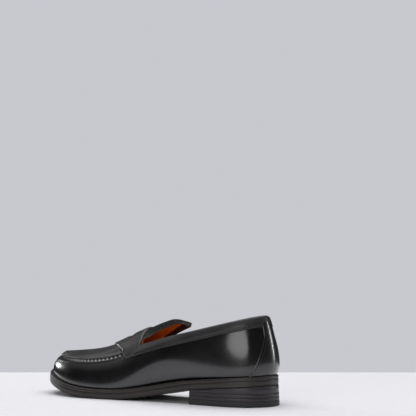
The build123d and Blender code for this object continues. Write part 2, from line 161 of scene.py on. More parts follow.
# The sole's outline seen from above, as percents of the length and of the forepart's width.
OUTLINE = [
    (0, 0), (1.3, 13.9), (4.7, 26.3), (11.4, 33.3), (20.2, 34.3), (30.3, 34.3), (40.4, 36.3),
    (50.5, 40.8), (60.6, 46.2), (69, 49.7), (75.8, 49.7), (82.5, 46.2), (88.2, 39.3),
    (93.6, 28.8), (97.6, 15.4), (100, -5), (97.6, -24.9), (93.6, -36.8), (88.2, -45.7),
    (82.5, -50.2), (75.8, -50.2), (69, -46.2), (60.6, -37.8), (50.5, -29.3), (40.4, -27.8),
    (30.3, -30.3), (20.2, -33.3), (11.4, -33.3), (4.7, -26.3), (1.3, -13.9),
]
# Curves along the shoe: (percent of the length, millimetres).
sole_bottom = curve([
    (0, heel_back_height), (9.4, 18.6), (20.2, 16), (26.9, 14), (33.7, 11), (40.4, 7.6), (47.1, 4.2),
    (53.2, 1.6), (58.9, 0.2), (64, 0), (69, 0.35), (74.1, 1.4), (80.8, 3.96),
    (87.5, 8.08), (94.3, 12.56), (100, 17.2),
])
rise = collar_height - seam_height
rim = curve([
    (0, collar_height), (11.4, seam_height + 0.874 * rise), (24.6, seam_height + 0.705 * rise),
    (36.7, seam_height + 0.548 * rise), (45.8, seam_height + 0.408 * rise),
    (50.8, seam_height + 0.313 * rise), (55.6, seam_height + 0.186 * rise),
    (60.6, seam_height + 0.087 * rise), (67, seam_height + 0.025 * rise), (74.1, seam_height),
    (82.5, seam_height), (89.2, seam_height + 0.6), (95.6, seam_height + 1.8), (100, seam_height + 2),
])
climb = tongue_height - toe_height
crest = curve([(at, toe_height + share * climb) for at, share in (
    (35.4, 1.07), (41.8, 0.985), (47.1, 0.875), (52.5, 0.738), (57.9, 0.597), (62.3, 0.463),
    (67.3, 0.318), (72.4, 0.218), (77.4, 0.155), (84.2, 0.102), (90.9, 0.063), (96, 0.029),
    (101, -0.015),
)])
crest_y = curve([(35, -1.5), (67, -2), (84, -3), (101, -4)])
ledge = curve([
    (0, 0.2), (11.4, -0.3), (23.6, -1), (37, -1), (50.5, 0.5), (64, 2), (77, 3), (91, 3.8), (100, 4),
])
# The wall on the inner side, then on the outer side.
BULGE = [
    curve([
        (0, 12), (6.7, 10), (16.8, 14), (27, 21), (35.4, 25), (45.5, 23), (53.9, 15), (62.3, 8),
        (70.7, 4), (84, 3), (100, 5),
    ]),
    curve([
        (0, 12), (6.7, 9), (16.8, 12), (27, 18), (35.4, 23), (45.5, 19), (52.2, 11), (59, 5),
        (67, 3), (84, 3), (100, 5),
    ]),
]
TUCK = [
    curve([
        (0, 1.8), (6.7, 1.6), (16.8, 3.5), (27, 6), (35.4, 8), (45.5, 7), (53.9, 4), (67, 1.2),
        (100, 0.5),
    ]),
    curve([
        (0, 1.8), (6.7, 1.6), (16.8, 3), (27, 5), (35.4, 6), (45.5, 4.5), (53.9, 2), (67, 0.8),
        (100, 0.5),
    ]),
]
LEAN = [
    curve([
        (0, 10), (5, 9), (11.4, 7), (20.2, 4.5), (30.3, 2.5), (40.4, 1.8), (50.8, 4), (58, 7.5),
        (67, 11), (77.4, 13.5), (89.2, 12.5), (100, 9),
    ]),
    curve([
        (0, 10), (5, 9), (11.4, 7.5), (20.2, 6.5), (30.3, 7), (40.4, 10.5), (50.8, 15.5),
        (58, 13.5), (67, 12), (77.4, 12.5), (89.2, 11.5), (100, 9),
    ]),
]
roundness = curve([(0, 1.6), (20.2, 1.8), (40.4, 2), (53.9, 2), (67.3, 2.2), (100, 2.3)])


def closed_curve(points, count):
    """Evenly spaced points on a closed smooth curve."""
    p = np.array(points + points[:1], float)
    t = np.concatenate([[0], np.cumsum(np.hypot(*np.diff(p, axis=0).T))])
    n = len(points)
    h = np.diff(t)
    matrix = np.zeros((n, n))
    load = np.zeros((n, 2))
    for i in range(n):
        before, after = h[i - 1], h[i]
        matrix[i, (i - 1) % n] += before
        matrix[i, i] += 2 * (before + after)
        matrix[i, (i + 1) % n] += after
        load[i] = 6 * ((p[i + 1] - p[i]) / after - (p[i] - p[i - 1 if i else n - 1]) / before)
    bend = np.linalg.solve(matrix, load)
    bend = np.vstack([bend, bend[:1]])
    s = np.linspace(0, t[-1], count * 8, endpoint=False)
    i = np.clip(np.searchsorted(t, s, side="right") - 1, 0, n - 1)
    a = ((t[i + 1] - s) / h[i])[:, None]
    b = ((s - t[i]) / h[i])[:, None]
    cubic = ((a**3 - a) * bend[i] + (b**3 - b) * bend[i + 1]) * (h[i] ** 2)[:, None] / 6
    q = a * p[i] + b * p[i + 1] + cubic
    whole = np.vstack([q, q[:1]])
    along = np.concatenate([[0], np.cumsum(np.hypot(*np.diff(whole, axis=0).T))])
    want = np.linspace(0, along[-1], count, endpoint=False)
    return np.column_stack([np.interp(want, along, whole[:, k]) for k in range(2)])


# The outline as a ring of points, and at each one the direction inward, smoothed along the ring.
RING_COUNT = 4096
ahead_reach = 8
smooth_reach = 12
smooth_rounds = 40
scaled = [(x * sole_length / 100, y * forepart_width / 100) for x, y in OUTLINE]
EDGE = closed_curve(scaled, RING_COUNT)
ahead = np.roll(EDGE, -ahead_reach, 0) - np.roll(EDGE, ahead_reach, 0)
ahead /= np.hypot(*ahead.T)[:, None]
INWARD = np.column_stack([ahead[:, 1], -ahead[:, 0]])
if ((EDGE.mean(0) - EDGE) * INWARD).sum() < 0:
    INWARD = -INWARD
for _ in range(smooth_rounds):
    INWARD = (np.roll(INWARD, smooth_reach, 0) + 2 * INWARD + np.roll(INWARD, -smooth_reach, 0)) / 4
INWARD /= np.hypot(*INWARD.T)[:, None]
width_middle = (EDGE[:, 1].max() + EDGE[:, 1].min()) / 2


def place(points):
    """From the drawing's millimetres to the row frame's metres."""
    p = np.asarray(points, float)
    return (p + np.array([sole_low.x * 1000, -width_middle, 0.0])) / 1000


def around(u):
    """Values of the outline's arrays at shares u of the way round."""
    k = (np.asarray(u, float) % 1) * RING_COUNT
    i = np.floor(k).astype(int) % RING_COUNT
    f = (k - np.floor(k))[..., None]
    j = (i + 1) % RING_COUNT
    return EDGE[i] * (1 - f) + EDGE[j] * f, INWARD[i] * (1 - f) + INWARD[j] * f


def welt_top(x):
    """Height of the welt's upper face, where the wall stands."""
    return sole_bottom(x) + sole_edge


def share_at(x, outer):
    """Share of the outline where it passes x on one side."""
    half = RING_COUNT // 2
    index = np.arange(half) if outer else np.arange(RING_COUNT - 1, half, -1)
    return float(np.interp(x, EDGE[index, 0], index / RING_COUNT))


class Wall:
    """The wall's shape above the sole's outline at shares u."""

    def __init__(self, u):
        self.u = np.asarray(u, float)
        self.edge, self.inward = around(self.u)
        x = self.edge[..., 0]
        self.foot = self.edge + self.inward * ledge(x)[..., None]
        x = self.foot[..., 0]
        side = 1 / (1 + np.exp(-self.foot[..., 1] / side_blend))
        self.base = welt_top(x)
        self.height = rim(x) - self.base
        self.bulge, self.tuck, self.lean = [
            side * pair[1](x) + (1 - side) * pair[0](x) for pair in (BULGE, TUCK, LEAN)
        ]
        self.power = roundness(x)

    def set_back(self, z):
        """How far inside its foot the wall's outer face is at heights z."""
        above = z - self.base
        low = self.tuck * np.clip((self.bulge - above) / self.bulge, 0, tuck_limit) ** 2
        share = np.clip((above - self.bulge) / (self.height - self.bulge), 0, None)
        share = np.where(share > 1, 1 + overrun * np.tanh((share - 1) / overrun), share)
        return np.where(above < self.bulge, low, self.lean * share**self.power)

    def at(self, z, skin):
        """Points at heights z on a face `skin` inside the wall's outer face."""
        slope = self.set_back(z + 0.5) - self.set_back(z - 0.5)
        inside = self.set_back(z) + skin * np.sqrt(1 + slope**2)
        p = self.foot + self.inward * inside[..., None]
        return np.stack([p[..., 0], p[..., 1], z + 0 * p[..., 0]], -1)

    def seam(self):
        """The wall's upper edge in plan, where the apron is sewn on."""
        return self.foot + self.inward * self.lean[..., None]


SEAM = Wall(np.arange(RING_COUNT) / RING_COUNT).seam()


def seam_y(x, outer):
    """Where the seam is across the shoe, at x on one side."""
    half = RING_COUNT // 2
    index = np.arange(half) if outer else np.arange(RING_COUNT - 1, half, -1)
    xs = np.maximum.accumulate(SEAM[index, 0])
    return np.interp(x, xs, SEAM[index, 1])


def roof_z(x, y):
    """Height of the apron's outer face, carried on over the tongue."""
    blunt = np.minimum(x, blunt_from * sole_length)
    middle = crest_y(x)
    half = np.where(y > middle, seam_y(blunt, True), seam_y(blunt, False)) - crest_y(blunt)
    return rim(x) + (crest(x) - rim(x)) * (1 - ((y - middle) / half) ** 2)


def roof_at(x, y, skin):
    """Points over x, y on a face `skin` under the apron's outer face."""
    across = roof_z(x, y + 0.5) - roof_z(x, y - 0.5)
    along = roof_z(x + 0.5, y) - roof_z(x - 0.5, y)
    return np.stack([x, y, roof_z(x, y) - skin * np.sqrt(1 + across**2 + along**2)], -1)


# ======== meshes ========
def added(name, data):
    """A new object in the scene."""
    thing = bpy.data.objects.new(name, data)
    bpy.context.scene.collection.objects.link(thing)
    return thing


def mesh_piece(name, points, faces, made):
    """A smooth-shaded object from the drawing's points."""
    mesh = bpy.data.meshes.new(name)
    mesh.from_pydata([tuple(p) for p in place(points)], [], faces)
    mesh.materials.append(made)
    mesh.validate()
    mesh.shade_smooth()
    return added(name, mesh)


def recalculated(piece):
    """Face normals made to point outward."""
    work = bmesh.new()
    work.from_mesh(piece.data)
    bmesh.ops.remove_doubles(work, verts=work.verts, dist=2e-6)
    bmesh.ops.recalc_face_normals(work, faces=work.faces)
    work.to_mesh(piece.data)
    work.free()
    return piece


def sheet(name, over, under, made, closed=False, skip=None):
    """A closed sheet between two grids of points; skip(i, j) leaves cells out as a hole."""
    rows, columns = over.shape[:2]
    count = rows * columns
    last = rows if closed else rows - 1
    keep = {(i, j) for i in range(last) for j in range(columns - 1) if not (skip and skip(i, j))}
    faces = []
    for i, j in sorted(keep):
        k = (i + 1) % rows
        a, b, c, d = i * columns + j, k * columns + j, k * columns + j + 1, i * columns + j + 1
        faces += [(a, b, c, d), (d + count, c + count, b + count, a + count)]
        borders = ((a, b, (i, j - 1)), (b, c, (i + 1, j)), (c, d, (i, j + 1)), (d, a, (i - 1, j)))
        for p, q, beside in borders:
            near = (beside[0] % rows if closed else beside[0], beside[1])
            if near not in keep:
                faces.append((q, p, p + count, q + count))
    points = np.vstack([over.reshape(-1, 3), under.reshape(-1, 3)])
    return recalculated(mesh_piece(name, points, faces, made))


def band_solid(name, columns, made, close_all=True):
    """A closed tube of profile points swept round the sole; the ends are closed if it is open."""
    net = np.stack(columns, 1)
    rows, count = net.shape[:2]
    points = net.reshape(-1, 3)
    faces = []
    for i in range(rows if close_all else rows - 1):
        k = (i + 1) % rows
        for j in range(count):
            m = (j + 1) % count
            faces.append((i * count + j, k * count + j, k * count + m, i * count + m))
    if not close_all:
        faces += [tuple(range(count)), tuple((rows - 1) * count + j for j in range(count))[::-1]]
    return recalculated(mesh_piece(name, points, faces, made))


def hill(place, middle, width):
    """A smooth hill: 1 at its middle, next to nothing two widths away."""
    return np.exp(-(((place - middle) / width) ** 2))


def rounded(share, border):
    """1 over a sheet's middle, falling like a quarter circle to 0 at its edges."""
    share = np.clip(share / border, 0, 1)
    return np.sqrt(np.clip(1 - (1 - share) ** 2, 0, 1))


def spaced(count, border):
    """Shares from 0 to 1, with close steps inside each border."""
    near = border * np.array([0, 0.08, 0.3, 0.65])
    return np.concatenate([near, np.linspace(border, 1 - border, count), 1 - near[::-1]])


def stitches(name, line, normals, length, radius, made, sink=0.35):
    """Short threads laid along a line, each one dipping at both ends into its holes."""
    points = []
    faces = []
    ring = 6
    steps = np.linspace(-0.5, 0.5, 5)
    for start, end, normal in zip(line[:-1], line[1:], normals[:-1]):
        run = end - start
        run = run / (np.linalg.norm(run) + 1e-9)
        side = np.cross(normal, run)
        side /= np.linalg.norm(side) + 1e-9
        up = np.cross(run, side)
        middle = (start + end) / 2
        first = len(points)
        for s in steps:
            dip = (2 * s) ** 4
            bow = radius * (1 - sink) * (1 - dip) - radius * 0.9 * dip
            size = radius * (1 - 0.45 * dip)
            for k in range(ring):
                a = TAU * k / ring
                raised = up * (bow + size * math.sin(a))
                points.append(middle + run * s * length + raised + side * size * math.cos(a) * 1.1)
        faces += tube_faces(first, ring, len(steps))
    return recalculated(mesh_piece(name, np.array(points), faces, made))


def tube_faces(first, ring, count):
    """Faces of a capped tube whose points start at index `first`, in `count` rings."""
    faces = []
    for i in range(count - 1):
        low = first + i * ring
        high = low + ring
        for k in range(ring):
            m = (k + 1) % ring
            faces.append((low + k, low + m, high + m, high + k))
    last = first + (count - 1) * ring
    return faces + [tuple(range(first, first + ring))[::-1], tuple(range(last, last + ring))]


def arched_threads(name, ends, radius, made):
    """One piece of many threads, each arched between a pair of points."""
    points = []
    faces = []
    ring = 8
    steps = np.linspace(0, 1, 7)
    for a, b in ends:
        run = b - a
        side = np.cross(run, [0, 0, 1.0])
        side /= np.linalg.norm(side) + 1e-9
        up = np.cross(side, run)
        up /= np.linalg.norm(up) + 1e-9
        faces += tube_faces(len(points), ring, len(steps))
        for s in steps:
            arch = 0.9 * math.sin(math.pi * s) - 0.35
            for k in range(ring):
                angle = TAU * k / ring
                raised = up * (arch + radius * math.sin(angle))
                points.append(a + run * s + raised + side * radius * math.cos(angle))
    piece = recalculated(mesh_piece(name, np.array(points), faces, made))
    return finish_piece(piece, "black_calf")


def walked(points, pitch):
    """Points spaced `pitch` apart along a dense line."""
    gaps = np.linalg.norm(np.diff(points, axis=0), axis=1)
    along = np.concatenate([[0], np.cumsum(gaps)])
    count = max(2, int(round(along[-1] / pitch)))
    want = np.linspace(0, along[-1], count + 1)
    return np.stack([np.interp(want, along, points[:, i]) for i in range(3)], -1)


def finish_piece(piece, slot, *nodes):
    """Fixes a piece to the shoe and hides the nodes it replaces; the slot is not used."""
    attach(piece, "shoe")
    if nodes:
        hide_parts(*nodes)
    return piece


# ======== materials ========
def material(name, colour, roughness, coat=0.0, coat_roughness=0.1, sheen=0.0):
    """A plain material, before its textures are added."""
    made = bpy.data.materials.new(name)
    made.use_nodes = True
    shader = made.node_tree.nodes["Principled BSDF"]
    shader.inputs["Base Color"].default_value = (*colour, 1)
    shader.inputs["Roughness"].default_value = roughness
    shader.inputs["Coat Weight"].default_value = coat
    shader.inputs["Coat Roughness"].default_value = coat_roughness
    shader.inputs["Sheen Weight"].default_value = sheen
    return made


def link(made, a, out, b, into):
    """Joins an output of node a to an input of node b."""
    made.node_tree.links.new(a.outputs[out], b.inputs[into])


def node(made, kind, **values):
    """A new node, its inputs and settings given by name."""
    n = made.node_tree.nodes.new(kind)
    for key, value in values.items():
        if key in n.inputs:
            n.inputs[key].default_value = value
        else:
            setattr(n, key, value)
    return n


def mapped(made, stretch=(1, 1, 1)):
    """The object's own coordinates, stretched."""
    where = node(made, "ShaderNodeTexCoord")
    move = node(made, "ShaderNodeMapping")
    move.inputs["Scale"].default_value = stretch
    link(made, where, "Object", move, "Vector")
    return move


def textured(made, space, kind, **values):
    """A noise or voronoi texture in the given space."""
    texture = node(made, "ShaderNodeTex" + kind, **values)
    link(made, space, "Vector", texture, "Vector")
    return texture


def varied(made, source, colours, roughness):
    """Colour and roughness follow a noise between two values each."""
    shader = made.node_tree.nodes["Principled BSDF"]
    ramp = node(made, "ShaderNodeValToRGB")
    ramp.color_ramp.elements[0].color = (*colours[0], 1)
    ramp.color_ramp.elements[1].color = (*colours[1], 1)
    ramp.color_ramp.elements[0].position = 0.3
    ramp.color_ramp.elements[1].position = 0.7
    link(made, source, 0, ramp, "Fac")
    link(made, ramp, "Color", shader, "Base Color")
    spread = node(made, "ShaderNodeMapRange")
    spread.inputs["To Min"].default_value = roughness[0]
    spread.inputs["To Max"].default_value = roughness[1]
    link(made, source, 0, spread, "Value")
    link(made, spread, "Result", shader, "Roughness")


def bumped(made, layers):
    """Stacks bump nodes: (texture node, strength, distance in metres)."""
    shader = made.node_tree.nodes["Principled BSDF"]
    before = None
    for texture, strength, distance in layers:
        bump = node(made, "ShaderNodeBump")
        bump.inputs["Strength"].default_value = strength
        bump.inputs["Distance"].default_value = distance
        link(made, texture, 0, bump, "Height")
        if before:
            link(made, before, "Normal", bump, "Normal")
        before = bump
    link(made, before, "Normal", shader, "Normal")


def calf():
    """Polished black calf: fine pores, faint uneven polish, a clear wax coat."""
    made = material("black_calf", (0.004, 0.0035, 0.004), 0.26, 0.85, 0.15)
    space = mapped(made)
    polish = textured(made, space, "Noise", Scale=38.0, Detail=4.0)
    pores = textured(made, space, "Voronoi", Scale=1500.0)
    waves = textured(made, space, "Noise", Scale=60.0, Detail=2.0)
    varied(made, polish, ((0.003, 0.0026, 0.003), (0.006, 0.005, 0.0055)), (0.2, 0.34))
    bumped(made, [(waves, 0.12, 0.0008), (pores, 0.1, 0.00008)])
    return made


def soft_calf():
    """The apron, strap and band: the same calf, brushed rather than glazed."""
    made = material("brushed_calf", (0.008, 0.0075, 0.008), 0.46, 0.1, 0.3)
    space = mapped(made)
    polish = textured(made, space, "Noise", Scale=55.0, Detail=5.0)
    pores = textured(made, space, "Voronoi", Scale=1300.0)
    varied(made, polish, ((0.011, 0.0100, 0.0110), (0.024, 0.0215, 0.0225)), (0.34, 0.5))
    bumped(made, [(polish, 0.12, 0.0005), (pores, 0.16, 0.0001)])
    return made


def tan():
    """Natural lining leather: blotched, with a fine nap."""
    made = material("tan_lining", (0.42, 0.13, 0.02), 0.75, sheen=0.15)
    space = mapped(made)
    blotch = textured(made, space, "Noise", Scale=70.0, Detail=6.0)
    nap = textured(made, space, "Noise", Scale=1600.0, Detail=2.0)
    varied(made, blotch, ((0.52, 0.15, 0.014), (0.74, 0.24, 0.025)), (0.55, 0.8))
    bumped(made, [(nap, 0.35, 0.0002), (blotch, 0.2, 0.0004)])
    return made


def edge_leather(name, dark, light, stretch, rough):
    """Pressed leather seen on edge: long horizontal fibres and thin layers."""
    made = material(name, dark, 0.5, 0.12, 0.3)
    space = mapped(made, (60, 60, stretch))
    fibre = textured(made, space, "Noise", Scale=1.0, Detail=6.0)
    fibre.inputs["Roughness"].default_value = 0.7
    speck = textured(made, space, "Noise", Scale=14.0, Detail=3.0)
    varied(made, fibre, (dark, light), rough)
    bumped(made, [(fibre, 0.5, 0.0003), (speck, 0.15, 0.0001)])
    return made


def plain(name, dark, light, scale, rough, metallic=0.0):
    """A simple grained material for pieces inside the shoe, nails and thread."""
    made = material(name, dark, 0.5)
    made.node_tree.nodes["Principled BSDF"].inputs["Metallic"].default_value = metallic
    space = mapped(made)
    grain = textured(made, space, "Noise", Scale=scale, Detail=5.0)
    varied(made, grain, (dark, light), rough)
    bumped(made, [(grain, 0.3, 0.0002)])
    return made


CALF = calf()
SOFT = soft_calf()
TAN = tan()
SOLE = edge_leather("sole_edge", (0.005, 0.004, 0.004), (0.030, 0.021, 0.017), 1700, (0.32, 0.6))
LIFT = edge_leather("heel_stack", (0.012, 0.009, 0.012), (0.036, 0.027, 0.033), 1200, (0.4, 0.62))
RUBBER = plain("rubber", (0.012, 0.012, 0.013), (0.03, 0.03, 0.031), 900.0, (0.6, 0.8))
THREAD = plain("black_thread", (0.006, 0.006, 0.006), (0.028, 0.027, 0.028), 3000.0, (0.4, 0.6))
TACK = plain("tacking_thread", (0.05, 0.047, 0.045), (0.13, 0.12, 0.11), 2800.0, (0.4, 0.6))
WELT_THREAD = plain("welt_thread", (0.02, 0.017, 0.015), (0.06, 0.05, 0.045), 2500.0, (0.45, 0.7))
INNER = {
    "interlining": plain("interlining_cloth", (0.45, 0.4, 0.33), (0.66, 0.62, 0.54), 1400.0, (0.8, 0.95)),
    "stiffener_board": plain("stiffener_board", (0.45, 0.38, 0.28), (0.64, 0.57, 0.45), 500.0, (0.7, 0.9)),
    "insole_leather": plain("insole_leather", (0.40, 0.26, 0.14), (0.58, 0.41, 0.25), 220.0, (0.6, 0.85)),
    "rib_canvas": plain("rib_canvas", (0.58, 0.53, 0.45), (0.75, 0.71, 0.63), 1500.0, (0.8, 0.95)),
    "cork": plain("cork", (0.20, 0.11, 0.05), (0.50, 0.32, 0.18), 380.0, (0.75, 0.95)),
    "shank_steel": plain("shank_steel", (0.30, 0.31, 0.34), (0.5, 0.51, 0.54), 300.0, (0.3, 0.5), 1.0),
    "nail_steel": plain("nail_steel", (0.4, 0.4, 0.41), (0.6, 0.6, 0.61), 700.0, (0.3, 0.45), 1.0),
    "pin_brass": plain("pin_brass", (0.5, 0.33, 0.1), (0.75, 0.53, 0.22), 700.0, (0.25, 0.4), 1.0),
    "tan_lining": TAN,
    "black_calf": CALF,
}


def dress_frame_nodes():
    """Gives each carried-over node the material of its slot, where a material for that slot is made here.
    """
    for row in frame["record"]["subparts"]:
        made = INNER.get(row["material_slot"])
        target = frame["nodes"][row["node"]]
        if made:
            target.data.materials.clear()
            target.data.materials.append(made)


# ======== upper ========
throat_u = share_at(throat_side, True)
throat_v = share_at(throat_side, False)
strap_u = share_at(strap_front_side, True)
STRAP_SHARE = (strap_u - throat_u) / (0.5 - throat_u)
SEAM_ALONG = np.concatenate([[0], np.cumsum(np.hypot(*np.diff(SEAM, axis=0).T))])
SEAM_SHARES = np.arange(RING_COUNT) / RING_COUNT


def along_seam(u):
    """Millimetres along the apron seam at shares u."""
    return np.interp(np.asarray(u) % 1, SEAM_SHARES, SEAM_ALONG)


def pucker_at(along):
    """1 at each of the seam's threads, 0 midway between two."""
    return 0.5 - 0.5 * np.cos(TAU * along / seam_pitch)


def front_of_throat(u):
    """1 ahead of the throat, falling to 0 just behind it."""
    u = np.asarray(u) % 1
    return 1 / (1 + np.exp(-(u - throat_u) / 0.004)) / (1 + np.exp((u - throat_v) / 0.004))


def build_vamp():
    """The wall of the upper all the way round, from the welt to the seam and the topline."""
    u = np.linspace(0, 1, 720, endpoint=False)
    shares = np.concatenate([np.linspace(0, 0.82, 26), np.linspace(0.84, 1, 14)])
    wall = Wall(u[:, None] + 0 * shares[None, :])
    top = rim(wall.foot[..., 0])
    low = wall.base - 0.6
    front = front_of_throat(u)[:, None]
    under_band = 2.5 * (1 - front)
    z = low + (top - low - under_band) * shares[None, :]
    pucker = pucker_at(along_seam(u))[:, None]
    drawn_in = 0.5 * pucker * hill(top - z, 2.0, 3.4) * front
    swell = -0.55 * hill(top - z, 3.6, 1.5) * front * (0.4 + 0.6 * pucker)
    foot_pinch = 0.9 * hill(z, wall.base, 1.3)
    over = wall.at(z, drawn_in + swell + foot_pinch)
    under = wall.at(z, drawn_in + swell + leather + 0.6)
    piece = sheet("vamp", over, under, CALF, closed=True)
    return finish_piece(piece, "black_calf", "vamp")


def build_backstay():
    """The counter cover: a strip up the back that spreads towards the welt."""
    v = spaced(30, 0.05)
    w = spaced(26, 0.03)
    foot_u = share_at(backstay_foot_x, True)
    top_u = share_at(backstay_top_x, True)
    spread = foot_u + (top_u - foot_u) * np.minimum(1, w * 1.35) ** 0.8
    wall = Wall((2 * v[:, None] - 1) * spread[None, :])
    low = wall.base - 0.4
    z = low + (rim(wall.foot[..., 0]) - 6 - low) * w[None, :]
    height = rounded(np.minimum(v, 1 - v), 0.05)[:, None]
    pinch = 0.8 * hill(z, wall.base, 1.3)
    over = wall.at(z, pinch - 1.0 * height + 0.02)
    under = wall.at(z, 0.35 + pinch)
    piece = sheet("backstay", over, under, CALF)
    finish_piece(piece, "black_calf", "backstay")
    for number, sign in enumerate((-1, 1)):
        edge = Wall(sign * (spread - 0.0042))
        heights = (edge.base + 1) + (rim(edge.foot[..., 0]) - 11 - edge.base) * w
        dots = walked(edge.at(heights, -0.95), 2.1)
        name = f"backstay_stitches_{number + 1}"
        thread = stitches(name, dots, outward_of(dots), 1.6, 0.28, THREAD)
        finish_piece(thread, "black_calf")


def outward_of(points):
    """Rough outward normals of the wall at points, in plan."""
    best = [int(np.argmin(np.hypot(EDGE[::8, 0] - p[0], EDGE[::8, 1] - p[1]))) * 8 for p in points]
    flat = -INWARD[best]
    return np.column_stack([flat, 0.25 * np.ones(len(flat))])


def apron_grid(shares, columns):
    """Plan positions of the apron's net, bowed forward at the crest as the strap's edges are."""
    u = throat_u + (0.5 - throat_u) * shares
    v = throat_v + (0.5 - throat_v) * shares
    a = Wall(v).seam()[:, None, :]
    b = Wall(u).seam()[:, None, :]
    middle = (a[..., 0] + b[..., 0]) / 2
    reach = middle[:, 0]
    strap_side = float(np.interp(STRAP_SHARE, shares, reach))
    seat = np.interp(shares, [0, STRAP_SHARE], [throat_x, strap_front])
    fading = np.clip((1 - shares) / (1 - STRAP_SHARE), 0, 1) ** 2
    beyond = fading * (strap_front - strap_side)
    crest_at = np.where(shares <= STRAP_SHARE, seat, reach + beyond)
    s = columns[None, :]
    y = (a[..., 1] + b[..., 1]) / 2 + s * (b[..., 1] - a[..., 1]) / 2
    x = a[..., 0] + (b[..., 0] - a[..., 0]) * (s + 1) / 2
    x = x + (crest_at[:, None] - middle) * (1 - np.abs(s) ** 1.6)
    return x, y, u, v


def build_apron():
    """The apron: a sheet over the roof's shape, grooved and puckered along its seam."""
    shares = np.concatenate([np.linspace(0, 0.9, 90), np.linspace(0.91, 0.995, 22)])
    edge = np.concatenate([[0, 0.01, 0.022, 0.036, 0.055], np.linspace(0.08, 1, 22)])
    columns = np.concatenate([-1 + edge, 1 - edge[::-1][1:]])
    x, y, u, v = apron_grid(shares, columns)
    half = np.abs(y[:, -1:] - y[:, :1]) / 2 + 1e-6
    from_edge = (1 - np.abs(columns)[None, :]) * half
    pucker_u = pucker_at(along_seam(u))[:, None]
    pucker_v = pucker_at(along_seam(v))[:, None]
    pucker = np.where(columns[None, :] > 0, pucker_u, pucker_v)
    groove = -0.9 * hill(from_edge, 2.9, 0.9) - 0.6 * hill(from_edge, 0, 1.5)
    raised = groove * (0.75 + 0.5 * pucker) + 0.49 * hill(from_edge, 6.0, 2.4)
    seam_z = rim(Wall(u).foot[..., 0])[:, None]
    pull = (roof_z(x, y) - seam_z) * hill(shares, 1, 0.05)[:, None] * 0.75
    over = roof_at(x, y, -raised)
    under = roof_at(x, y, leather + 0.4 - raised)
    over[..., 2] -= pull
    under[..., 2] -= pull
    piece = sheet("apron", over, under, SOFT)
    return finish_piece(piece, "black_calf", "apron")


def build_apron_ridge():
    """The raised edge of the seam, lower and narrower between every two of its threads."""
    fine = np.arange(along_seam(throat_u), along_seam(throat_v), seam_pitch / 10)
    wall = Wall(np.interp(fine, SEAM_ALONG, SEAM_SHARES))
    seam = wall.seam()
    z = rim(wall.foot[..., 0])
    pinch = 1 - pucker_at(fine)
    columns = []
    for angle in np.linspace(0, TAU, 14, endpoint=False):
        reach = ridge_half_width - 0.45 * pinch
        tall = ridge_height - 0.75 * pinch * (math.sin(angle) > -0.1)
        p = seam + wall.inward * (0.15 + reach * math.cos(angle))[:, None]
        columns.append(np.column_stack([p, z - 0.1 + tall * math.sin(angle)]))
    ridge = band_solid("apron_ridge", columns, SOFT, close_all=False)
    return finish_piece(ridge, "black_calf")


def build_apron_threads():
    """The seam's waxed threads, each slanting across the ridge."""
    start = along_seam(throat_u)
    end = along_seam(throat_v)
    places = np.arange(math.ceil(start / seam_pitch) + 0.5, end / seam_pitch - 0.5) * seam_pitch
    wall = Wall(np.interp(places, SEAM_ALONG, SEAM_SHARES))
    ends = []
    for seam, inward, z in zip(wall.seam(), wall.inward, rim(wall.foot[..., 0])):
        slant = 0.9 * np.array([-inward[1], inward[0]])
        outer_end = np.array([*(seam - inward * 1.5 - slant), z - 0.75])
        inner_end = np.array([*(seam + inward * 2.0 + slant), z + 0.75])
        ends.append((outer_end, inner_end))
    return arched_threads("apron_seam_threads", ends, 0.42, THREAD)


def strap_net(shares, columns, height):
    """The strap's face: over the apron inside the seams, down the wall outside them."""
    inside = np.clip(columns, -1, 1)
    x, y, u, v = apron_grid(shares, inside)
    from_seam = (1 - np.abs(inside)) * apron_half_width
    over = roof_at(x, y, 0 * x - height - 1.3 * hill(from_seam, 0, 2.4)[None, :])
    for j, column in enumerate(columns):
        past_seam = abs(column) - 1
        if past_seam > 0:
            drop = past_seam * strap_end_drop
            back = 1 - strap_end_slant * past_seam
            side = throat_u + (u - throat_u) * back if column > 0 else throat_v + (v - throat_v) * back
            wall = Wall(side)
            z = rim(wall.foot[..., 0]) - drop
            over[:, j] = wall.at(z, -height[:, j] - 0.9 * hill(drop, 0, 2.2))
    for _ in range(3):
        over[:, 1:-1] = (over[:, :-2] + 2 * over[:, 1:-1] + over[:, 2:]) / 4
    return over


